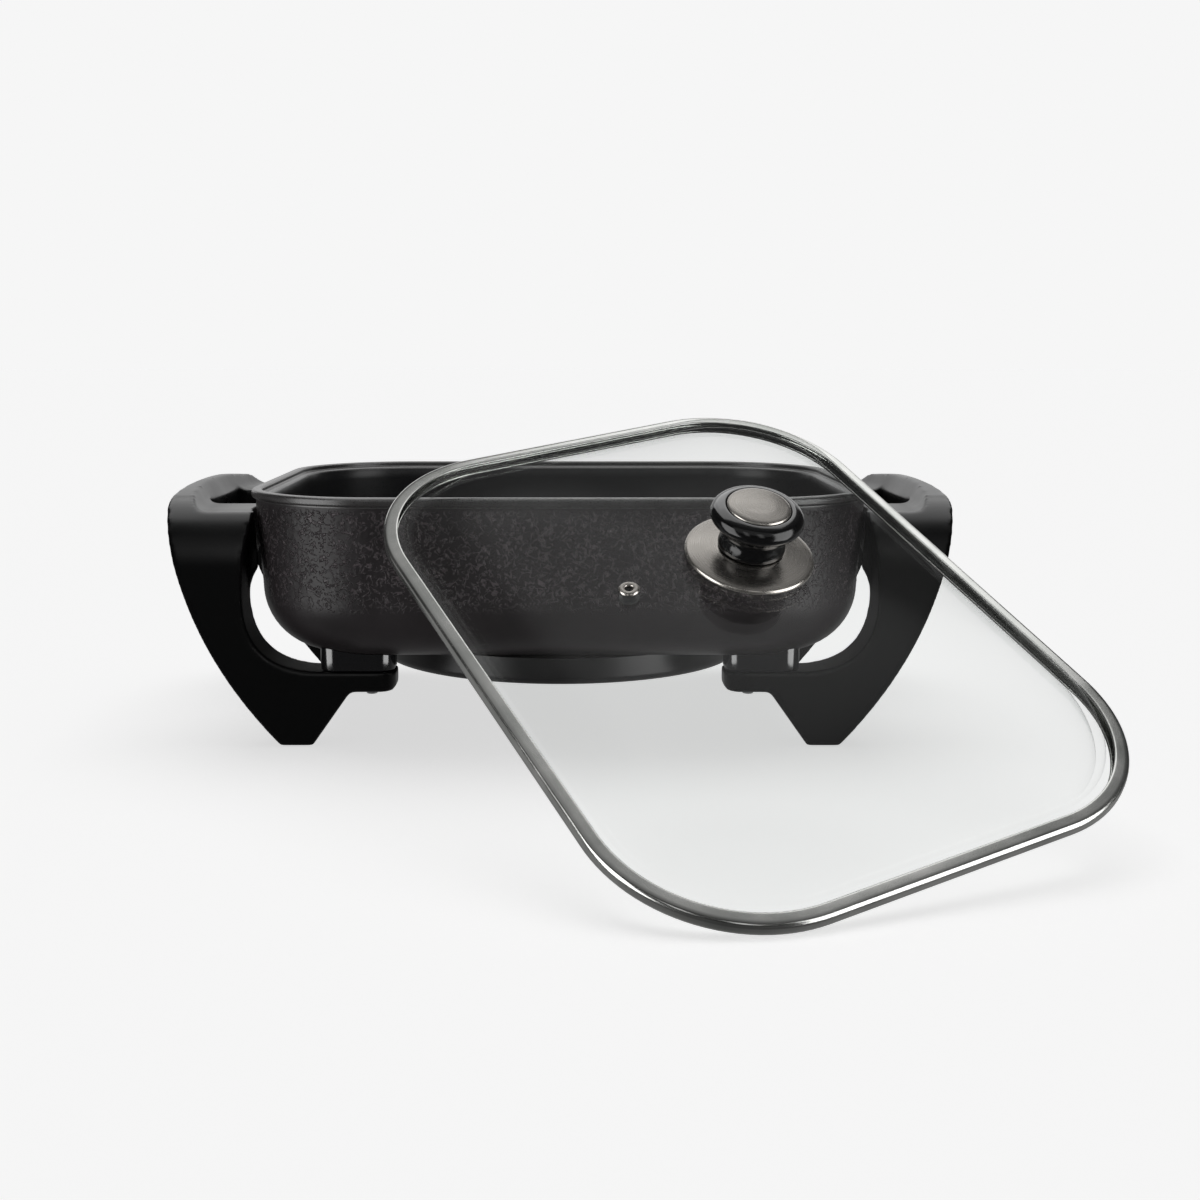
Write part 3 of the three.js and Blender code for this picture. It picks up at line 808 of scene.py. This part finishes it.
pan = make_pan()
kept_kinds = [FINISH["coating"], FINISH["lining"], FINISH["rim"]]
indices = [p.material_index for p in pan.data.polygons]
finish_piece(pan, "base", kept_kinds, ["pan_body"], sharp=50)
pan.data.polygons.foreach_set("material_index", indices)
for number, boss in enumerate(make_pan_bosses()):
    boss.name = f"pan_boss_{number + 1}"
    finish_piece(boss, "base", FINISH["coating"])


# ------------------------------------------------------------------ handles
def leg_outline():
    """Side view of a handle and its legs, X against Z."""
    reach = HANDLE_REACH
    half = PAN_LENGTH / 2
    points = [Vector((FOOT_OUTER - 1.5, FOOT_LIFT))]
    points += curve(points[-1], (reach - 5.5, 70), (reach, 155), 48)
    points += curve(points[-1], (reach, CREST_HEIGHT), (reach - 11, CREST_HEIGHT + 1), 12)
    edge = SLOT_EDGE_HEIGHT
    brink = (SLOT_OUTER - 3, CREST_HEIGHT + 1)
    points += curve(points[-1], brink, (SLOT_OUTER - 7, edge + 4), 8)
    points += curve(points[-1], (SLOT_OUTER - 9, edge), (SLOT_OUTER - 15, edge), 6)
    points += [Vector(p) for p in ((half - 60, edge), (half - 60, 118), (199, 117))]
    points += curve(points[-1], (207.5, 108), (206, 92), 10)
    points += curve(points[-1], (203, 51), (STEP_START, PARTING_HEIGHT), 40)
    points += [Vector((STEP_END, PARTING_HEIGHT)), Vector((STEP_END, LEDGE_HEIGHT + 5))]
    points += curve(points[-1], (STEP_END, LEDGE_HEIGHT), (STEP_END + 6, LEDGE_HEIGHT), 8)
    points.append(Vector((134.5, LEDGE_HEIGHT)))
    points += curve(points[-1], (137.5, LEDGE_HEIGHT), (139.6, 33), 8)
    points.append(Vector((161, 2.8)))
    points += curve(points[-1], (162, FOOT_LIFT), (164, FOOT_LIFT), 5)
    return points


def arch_outline():
    """Front view of the handle's top, Y against Z: a shallow arch with round shoulders."""
    roll = LEG_SPAN - SHOULDER

    def crest(y):
        return CREST_HEIGHT - CREST_DROP * (y / LEG_SPAN) ** 2

    points = [Vector((-LEG_SPAN, 0)), Vector((LEG_SPAN, 0))]
    steps = 40
    for step in range(steps + 1):
        angle = step / steps * math.pi / 2
        y = roll + SHOULDER * math.cos(angle)
        points.append(Vector((y, crest(y) - SHOULDER * (1 - math.sin(angle)))))
    for step in range(1, 24):
        y = roll * (1 - step / 12)
        points.append(Vector((y, crest(y))))
    for step in range(steps + 1):
        angle = (1 - step / steps) * math.pi / 2
        y = -roll - SHOULDER * math.cos(angle)
        points.append(Vector((y, crest(y) - SHOULDER * (1 - math.sin(angle)))))
    return points


def between_legs():
    half = LEG_SPAN - LEG_THICKNESS
    radius = 30
    top = GRIP_UNDERSIDE - radius
    points = [Vector((-half, -5)), Vector((half, -5))]
    points += arc(half - radius, top, radius, 0, 90, 20)
    points += arc(-half + radius, top, radius, 90, 180, 20)
    return points


def slot_plan():
    radius = SLOT_CORNER
    inner = PAN_LENGTH / 2 - 40
    points = [Vector((inner, -SLOT_HALF))]
    points += arc(SLOT_OUTER - radius, -SLOT_HALF + radius, radius, -90, 0, 14)
    points += arc(SLOT_OUTER - radius, SLOT_HALF - radius, radius, 0, 90, 14)
    points.append(Vector((inner, SLOT_HALF)))
    return points


def smoothstep(value, low, high):
    t = min(max((value - low) / (high - low), 0), 1)
    return t * t * (3 - 2 * t)


def bow_grip(piece):
    """Bows the upper part of the handle outwards, most at the middle of the grip."""
    for vertex in piece.data.vertices:
        x, y, z = vertex.co
        along = 1 - min((y / LEG_SPAN) ** 2, 1)
        rise = smoothstep(z, 90, 150)
        vertex.co.x += HANDLE_BOW * along * rise * smoothstep(x, 205, HANDLE_REACH - 14)
    return piece


def corner_relief(side_y):
    """What a leg leaves open beside the pan's corner, above its arch."""
    inside = PAN_LENGTH / 2 - 56
    top = RIM_TOP + 20
    points = [Vector((inside, RELIEF_BOTTOM)), Vector((RELIEF_OUTER, RELIEF_BOTTOM))]
    points += curve(points[-1], (206, 130), (197, 162), 16)
    points += [Vector((196, top)), Vector((inside, top))]
    near = side_y * (LEG_SPAN - RELIEF_DEPTH)
    far = side_y * (LEG_SPAN + 5)
    return prism("relief", points, min(near, far), max(near, far), "Y")


def step_corner(side_y, outer):
    """What the rounded end of a leg's step leaves out at one corner."""
    radius = STEP_ROUND
    edge = side_y * (BOSS_Y + outer * LEG_THICKNESS / 2)
    toward = side_y * outer
    centre = Vector((STEP_END + radius, edge - toward * radius))
    start = 270 if toward < 0 else 90
    points = arc(centre.x, centre.y, radius, start, 180, 10)
    points.append(Vector((STEP_END - 1, centre.y)))
    points.append(Vector((STEP_END - 1, edge + toward)))
    points.append(Vector((centre.x, edge + toward)))
    if toward > 0:
        points.reverse()
    return prism("corner", points, 20, PARTING_HEIGHT + 5, "Z")


def make_handle():
    body = bow_grip(prism("handle", leg_outline(), -LEG_SPAN, LEG_SPAN, "Y", 52))
    combine(body, "INTERSECT", prism("arch", arch_outline(), 90, 300, "X"))
    path = rounded_path(PAN_LENGTH, PAN_DEPTH, PAN_CORNER, 200)
    clearance = outside_profile(2.4) + [
        (LIP_PROUD - 2.6, RIM_TOP - LIP_HEIGHT - 3.4), (-1.4, RIM_TOP - LIP_HEIGHT - 1.6),
        (-1.4, RIM_TOP + 4),
    ]
    cutters = [
        prism("between", between_legs(), 100, 300, "X"),
        prism("slot", slot_plan(), 105, 195, "Z"),
        loft("pan_space", [path_ring(path, inset, height) for inset, height in clearance]),
    ]
    for side in (-1, 1):
        cutters += [step_corner(side, -1), step_corner(side, 1), corner_relief(side)]
        pocket = [(0, -3), (PAD_POCKET, -3), (PAD_POCKET, 5), (0, 5)]
        hole = [(0, 20), (LEG_HOLE, 20), (LEG_HOLE, 60), (0, 60)]
        cutters.append(turned("pocket", pocket, 32, FOOT_X, side * BOSS_Y))
        cutters.append(turned("hole", hole, 20, SCREW_X, side * BOSS_Y))
    combine(body, "DIFFERENCE", *cutters)
    round_over(body, 1.5 * FINE ** 0.5, 6)
    return body


def round_over(piece, voxel, smoothing):
    """Rounds every edge a little, as a moulding's are."""
    remesh = piece.modifiers.new("skin", "REMESH")
    remesh.mode = "VOXEL"
    remesh.voxel_size = voxel
    relax = piece.modifiers.new("relax", "SMOOTH")
    relax.factor = 0.5
    relax.iterations = smoothing
    return baked(piece)


right_handle = make_handle()
left_handle = mesh_object("handle_left_moulding", [], [])
left_handle.data = right_handle.data.copy()
left_handle.data.transform(Matrix.Rotation(math.pi, 4, "Z"))
right_handle.name = "handle_right_moulding"
finish_piece(right_handle, "base", FINISH["phenolic"], ["handle_right"])
finish_piece(left_handle, "base", FINISH["phenolic"], ["handle_left"])


def make_spacer(side_x, side_y):
    """The block between a leg's step and the pan, shaped to the pan's underside."""
    middle_x = (STEP_START + STEP_END) / 2
    length = STEP_START - STEP_END - SPACER_SHORT
    path = rounded_path(length, LEG_THICKNESS - 2, STEP_ROUND, 120)
    foot = PARTING_HEIGHT + GAP
    rows = [(1.0, foot), (0.3, foot + 0.3), (0, foot + 1), (0, 82)]
    block = loft("spacer", [path_ring(path, inset, height) for inset, height in rows])
    block.data.transform(Matrix.Translation((middle_x, BOSS_Y, 0)))
    around = rounded_path(PAN_LENGTH, PAN_DEPTH, PAN_CORNER, 320)
    space = outside_profile(GAP) + [(0, RIM_TOP)]
    cutter = loft("pan_space", [path_ring(around, inset, height) for inset, height in space])
    bore = [(0, 40), (BOSS_HOLE, 40), (BOSS_HOLE, 90), (0, 90)]
    hole = turned("hole", bore, 32, SCREW_X, BOSS_Y)
    combine(block, "DIFFERENCE", cutter, hole)
    block.data.transform(Matrix.Diagonal((side_x, side_y, 1, 1)))
    if side_x * side_y < 0:
        block.data.flip_normals()
    return block


for corner, side_x, side_y in (
    ("left_front", -1, -1), ("right_front", 1, -1), ("left_rear", -1, 1), ("right_rear", 1, 1),
):
    spacer = make_spacer(side_x, side_y)
    spacer.name = f"spacer_block_{corner}"
    finish_piece(
        spacer, "base", FINISH["gloss"],
        [f"leg_spacer_{corner}"], sharp=40,
    )
    pad_outline = soften([(0, 0), (5.8, 0), (6.2, 0.6), (7.5, 1.2), (7.5, 4.6), (0, 4.6)], 0.5, 3)
    pad = turned(f"foot_{corner}", pad_outline, 48, side_x * FOOT_X, side_y * BOSS_Y)
    finish_piece(pad, "base", FINISH["rubber"], [f"foot_pad_{corner}"])
    frame["nodes"][f"leg_screw_{corner}"].data.materials.clear()
    frame["nodes"][f"leg_screw_{corner}"].data.materials.append(FINISH["zinc"])


# ------------------------------------------------------------------ heater
def make_cover():
    top = PAN_BOTTOM - GAP
    r = COVER_RADIUS
    outline = soften([
        (0, COVER_BOTTOM), (60, COVER_BOTTOM),
        (66, COVER_BOTTOM + COVER_RING), (104, COVER_BOTTOM + COVER_RING),
        (110, COVER_BOTTOM), (r - 7, COVER_BOTTOM), (r - 3, COVER_BOTTOM + 1),
        (r - 0.8, COVER_BOTTOM + 4), (r, top - 1), (r, top), (r - 1.2, top),
        (r - 2.2, COVER_BOTTOM + 4.6), (r - 4, COVER_BOTTOM + 2.6), (r - 7.4, COVER_BOTTOM + 2),
        (0, COVER_BOTTOM + 2),
    ], 1.6, 4)
    dish = turned("heater_dish", outline, 160)
    low = COVER_BOTTOM + 4.5
    opening = [
        Vector((-INLET_HALF, low)), Vector((INLET_HALF, low)),
        Vector((INLET_HALF, top + 2)), Vector((-INLET_HALF, top + 2)),
    ]
    combine(dish, "DIFFERENCE", prism("side_opening", opening, 110, 150, "X"))
    return dish


finish_piece(
    make_cover(), "base", FINISH["enamel"], ["heater_cover"], sharp=40,
)

for node, finish in (
    ("heating_element", "sheath"), ("inlet_shroud", "phenolic"), ("sensor_guide_tube", "spun"),
    ("terminal_pin_front", "brass"), ("terminal_pin_rear", "brass"), ("cover_screw_1", "zinc"),
    ("cover_screw_2", "zinc"), ("cover_screw_3", "zinc"), ("knob_screw", "zinc"),
    ("knob_washer", "silicone"),
):
    shown = frame["nodes"][node]
    shown.data.materials.clear()
    shown.data.materials.append(FINISH[finish])


# ------------------------------------------------------------------ lid
def dome(inset, base, steps):
    """Inset, height and scale of one face of the dome, from the flange to the crown."""
    stations = []
    for step in range(steps + 1):
        angle = step / steps * math.pi / 2
        stations.append((
            inset,
            base + DOME_RISE * math.sin(angle) ** 1.25,
            max(math.cos(angle), 0.01) ** (2 / 3),
        ))
    return stations


def make_glass():
    path = rounded_path(LID_LENGTH, LID_DEPTH, LID_CORNER, 256 // FINE)
    half = GLASS / 2
    steps = 44 // FINE
    under = list(reversed(dome(FLANGE + 4, -half, steps)))
    edge = [(3, -half + 0.4, 1), (2.7, 0, 1), (3, half - 0.4, 1)]
    stations = under + [(4, -half, 1)] + edge + [(4, half, 1)] + dome(FLANGE, half, steps)
    shell = loft("glass", [path_ring(path, i, h, s) for i, h, s in stations])
    hole = turned("hole", [(0, 0), (4.4, 0), (4.4, 80), (0, 80)], 32)
    return combine(shell, "DIFFERENCE", hole)


def make_band():
    path = rounded_path(LID_LENGTH, LID_DEPTH, LID_CORNER, 256 // FINE)
    slot = GLASS / 2 + 0.4
    outer = slot + 1.6
    profile = [
        (8, -outer + 0.3), (7.4, -outer), (2.4, -outer), (0.7, -outer + 0.6), (0, -outer + 2),
        (0, outer - 2), (0.7, outer - 0.6), (2.4, outer), (7.4, outer), (8, outer - 0.3),
        (8, slot), (2.2, slot), (2.2, -slot), (8, -slot), (8, -outer + 0.3),
    ]
    smooth = soften(profile, 0.9, 4)[:-1]
    return loft("band", [path_ring(path, inset, height) for inset, height in smooth], closed=True)


KNOB_PLATE = [
    (4.2, PLATE), (16, PLATE), (31.5, PLATE - 1.6), (34.2, PLATE - 3), (35, PLATE - 2.4),
    (34.5, PLATE - 0.8), (32.4, PLATE), (18, PLATE + 3), (4.2, PLATE + 3), (4.2, PLATE),
]
KNOB_OUTLINE = [
    (0, KNOB), (17.2, KNOB), (18.2, KNOB + 1), (17.8, KNOB + 4), (16.6, KNOB + 9),
    (17.4, KNOB + 12), (21, KNOB + 14.5), (24, KNOB + 16.5), (25, KNOB + 19),
    (24.6, KNOB + 21.5), (22.4, KNOB + 24), (19, KNOB + 25.4), (17.4, KNOB + 25.4),
    (17.4, KNOB + 24), (0, KNOB + 24),
]
CAP_OUTLINE = [
    (0, KNOB + 24.3), (16.9, KNOB + 24.3), (17, KNOB + 25.6), (15.6, KNOB + 26.5),
    (9, KNOB + 27.1), (0, KNOB + 27.4),
]

finish_piece(make_glass(), "lid", FINISH["glass"], ["lid_glass"], LID_PLACE, 40)
finish_piece(make_band(), "lid", FINISH["band"], ["lid_rim_band"], LID_PLACE, 50)
finish_piece(
    turned_ring("knob_plate", soften(KNOB_PLATE, 2.2)[:-1], 128),
    "lid", FINISH["spun"], ["knob_base_plate"], LID_PLACE, 60,
)
finish_piece(
    turned("knob_grip", soften(KNOB_OUTLINE, 2.5), 128),
    "lid", FINISH["gloss"], ["knob_body"], LID_PLACE, 60,
)
finish_piece(
    turned("knob_insert", soften(CAP_OUTLINE, 1.2), 128),
    "lid", FINISH["spun"], ["knob_cap"], LID_PLACE, 60,
)


def make_eyelet():
    """The steam vent's rolled steel eyelet, about the vent in the glass."""
    outline = [
        (2.2, 0), (3.4, 0), (3.4, 0.5), (5.4, 0.5), (5.6, 1), (4.6, 1.9), (2.8, 1.9), (2.2, 1.3),
        (2.2, 0),
    ]
    return turned_ring("vent_eyelet", soften(outline, 0.5)[:-1], 64)


def make_sleeve():
    """The dark sleeve that holds the eyelet in the glass from below."""
    foot = -GLASS - 0.6
    outline = [
        (2.2, foot - 1), (5.2, foot - 1), (5.4, foot), (3.4, foot + 0.2), (3.4, -GAP),
        (2.2, -GAP), (2.2, foot - 1),
    ]
    return turned_ring("vent_sleeve", soften(outline, 0.4)[:-1], 64)


def vent_place():
    """Where the vent goes through the dome."""
    low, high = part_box("vent_grommet")
    local = LID_PLACE.inverted() @ ((low + high) / 2)
    lean = math.radians(VENT_LEAN) * (1 if local.y < 0 else -1)
    tilt = Matrix.Rotation(lean, 4, "X")
    middle = tilt @ Vector((0, 0, VENT_MIDDLE * MM))
    return LID_PLACE @ Matrix.Translation(local - middle) @ tilt


finish_piece(
    make_eyelet(), "lid", FINISH["spun"], ["vent_grommet"], vent_place(), 60,
)
finish_piece(make_sleeve(), "lid", FINISH["rubber"], [], vent_place(), 60)


# ------------------------------------------------------------------ studio
PALE = 0.9216                    # the backdrop's shade, as the camera sees it
FLOOR_GLOW = 0.66                # with the sun below, makes the floor as pale as the backdrop
FLOOR_RADIUS = 25
FLOOR_SIDES = 96
SKY = [                          # height, 0 straight down to 1 straight up, and shade
    (0.0, 0.25), (0.48, 0.25), (0.52, 0.06), (0.75, 0.04), (0.88, 0.12), (0.95, 0.4), (1.0, 0.4),
]


def make_floor():
    """A wide pale floor, partly self-lit so that its shadows stay faint."""
    angles = [2 * math.pi * i / FLOOR_SIDES for i in range(FLOOR_SIDES)]
    ring = [(FLOOR_RADIUS * math.cos(a), FLOOR_RADIUS * math.sin(a), 0) for a in angles]
    floor = mesh_object("floor", ring, [tuple(range(FLOOR_SIDES))])
    made = bpy.data.materials.new("floor_paper")
    made.use_nodes = True
    nodes = made.node_tree.nodes
    nodes.clear()
    paper = nodes.new("ShaderNodeBsdfDiffuse")
    paper.inputs["Color"].default_value = (0.85, 0.85, 0.85, 1)
    glow = nodes.new("ShaderNodeEmission")
    glow.inputs["Color"].default_value = (1, 1, 1, 1)
    glow.inputs["Strength"].default_value = FLOOR_GLOW
    both = nodes.new("ShaderNodeAddShader")
    output = nodes.new("ShaderNodeOutputMaterial")
    made.node_tree.links.new(paper.outputs[0], both.inputs[0])
    made.node_tree.links.new(glow.outputs[0], both.inputs[1])
    made.node_tree.links.new(both.outputs[0], output.inputs["Surface"])
    floor.data.materials.append(made)
    floor.visible_glossy = False
    floor.visible_shadow = False
    return floor


def make_world():
    """Pale backdrop for the camera; for the object, dark above the horizon, lit overhead."""
    world = bpy.data.worlds.new("studio")
    bpy.context.scene.world = world
    world.use_nodes = True
    nodes = world.node_tree.nodes
    links = world.node_tree.links
    nodes.clear()
    where = nodes.new("ShaderNodeTexCoord")
    split = nodes.new("ShaderNodeSeparateXYZ")
    links.new(where.outputs["Generated"], split.inputs[0])
    sky = nodes.new("ShaderNodeValToRGB")
    stops = sky.color_ramp.elements
    while len(stops) < len(SKY):
        stops.new(0.5)
    for stop, (place, shade) in zip(stops, SKY):
        stop.position = place
        stop.color = (shade, shade, shade, 1)
    height = nodes.new("ShaderNodeMapRange")
    height.inputs["From Min"].default_value = -1
    height.inputs["From Max"].default_value = 1
    links.new(split.outputs[2], height.inputs["Value"])
    links.new(height.outputs["Result"], sky.inputs[0])
    studio = nodes.new("ShaderNodeBackground")
    behind = nodes.new("ShaderNodeMapRange")
    behind.inputs["From Min"].default_value = -0.4
    behind.inputs["From Max"].default_value = 0.4
    behind.inputs["To Min"].default_value = 0.25
    links.new(split.outputs[1], behind.inputs["Value"])
    links.new(sky.outputs[0], studio.inputs["Color"])
    links.new(behind.outputs["Result"], studio.inputs["Strength"])
    even = nodes.new("ShaderNodeBackground")
    even.inputs["Color"].default_value = (PALE, PALE, PALE, 1)
    path = nodes.new("ShaderNodeLightPath")
    choose = nodes.new("ShaderNodeMixShader")
    output = nodes.new("ShaderNodeOutputWorld")
    links.new(path.outputs["Is Camera Ray"], choose.inputs[0])
    links.new(studio.outputs[0], choose.inputs[1])
    links.new(even.outputs[0], choose.inputs[2])
    links.new(choose.outputs[0], output.inputs["Surface"])


def softbox(name, azimuth, elevation, distance, width, height, radiance, receivers):
    """A soft light that faces the pan; azimuth 0 is in front and 90 on the right."""
    data = bpy.data.lights.new(name, "AREA")
    data.shape = "RECTANGLE"
    data.size = width
    data.size_y = height
    data.energy = radiance * math.pi * width * height
    light = bpy.data.objects.new(name, data)
    bpy.context.scene.collection.objects.link(light)
    a, e = math.radians(azimuth), math.radians(elevation)
    away = Vector((math.sin(a) * math.cos(e), -math.cos(a) * math.cos(e), math.sin(e)))
    centre = Vector((pan_centre.x, pan_centre.y, 0.1))
    light.location = centre + away * distance
    light.rotation_euler = away.to_track_quat("Z", "Y").to_euler()
    light.light_linking.receiver_collection = receivers
    return light


def shield(name, *objects):
    """A group of objects that a light leaves out, as a flag in front of it would."""
    group = bpy.data.collections.new(name)
    for one in objects:
        group.objects.link(one)
    for entry in group.collection_objects:
        entry.light_linking.link_state = "EXCLUDE"
    return group


def spotlit(name, *objects):
    """A group of objects that a light is kept to."""
    group = bpy.data.collections.new(name)
    for one in objects:
        group.objects.link(one)
    return group


def make_lights(floor):
    """Softboxes for the object only; the floor has a sun of its own."""
    glass, band = (bpy.data.objects[name] for name in ("glass", "band"))
    knob_metal = [bpy.data.objects[name] for name in ("knob_plate", "knob_insert", "vent_eyelet")]
    off_lid = shield("off_lid", floor, glass, band, *knob_metal)
    off_handles = shield("off_handles", floor, glass, left_handle, right_handle)
    pan_only = spotlit("pan_only", pan)
    band_only = spotlit("band_only", band)
    knob_only = spotlit("knob_only", *knob_metal, bpy.data.objects["knob_grip"])
    spacers = [one for one in bpy.data.objects if one.name.startswith("spacer_block")]
    bosses_only = spotlit("bosses_only", *spacers)
    off_glass = shield("off_glass", floor, glass)
    softbox("left_box", -55, 4, 1.7, 1.15, 1.9, 3.0, off_handles)
    softbox("right_box", 55, 4, 1.7, 1.15, 1.9, 3.0, off_handles)
    softbox("left_strip", -13, 20, 2.2, 0.3, 0.9, 1.1, off_glass)
    softbox("right_strip", 13, 20, 2.2, 0.3, 0.9, 1.1, off_glass)
    softbox("front_box", 0, 34, 2.0, 2.4, 1.0, 0.3, off_lid)
    softbox("back_box", 180, 21, 2.4, 3.6, 1.7, 0.85, off_glass)
    softbox("top_box", 180, 72, 1.8, 2.6, 2.2, 2.2, off_lid)
    softbox("knob_box", 180, 62, 1.9, 1.4, 1.2, 0.45, knob_only)
    softbox("pan_key", 0, 62, 1.6, 2.0, 0.4, 1.6, pan_only)
    softbox("band_key", 140, 55, 1.9, 1.1, 1.1, 1.2, band_only)
    softbox("left_boss_box", -52, -2, 1.6, 1.1, 1.4, 5, bosses_only)
    softbox("right_boss_box", 52, -2, 1.6, 1.1, 1.4, 5, bosses_only)
    sun = bpy.data.lights.new("floor_sun", "SUN")
    sun.energy = 0.65
    sun.angle = math.radians(55)
    above = bpy.data.objects.new("floor_sun", sun)
    above.rotation_euler = (math.radians(-20), 0, 0)
    above.light_linking.receiver_collection = spotlit("floor_only", floor)
    bpy.context.scene.collection.objects.link(above)


CAMERA_LENS = 45.66              # millimetres
CAMERA_DISTANCE = 1.1            # in front of the pan's centre, metres
CAMERA_HEIGHT = 0.255
CAMERA_DIP = 9.2                 # degrees down from level


def make_camera():
    """Just above the rim and 1.1 m in front of the pan's centre, looking down a little."""
    data = bpy.data.cameras.new("camera")
    data.sensor_width = 36
    data.lens = CAMERA_LENS
    data.shift_x = 1 / 30
    data.clip_start = 0.05
    data.clip_end = 60
    camera = bpy.data.objects.new("camera", data)
    bpy.context.scene.collection.objects.link(camera)
    camera.location = (pan_centre.x, pan_centre.y - CAMERA_DISTANCE, CAMERA_HEIGHT)
    camera.rotation_euler = (math.radians(90 - CAMERA_DIP), 0, 0)
    bpy.context.scene.camera = camera


make_world()
make_lights(make_floor())
make_camera()
bpy.context.scene.view_settings.view_transform = "Standard"
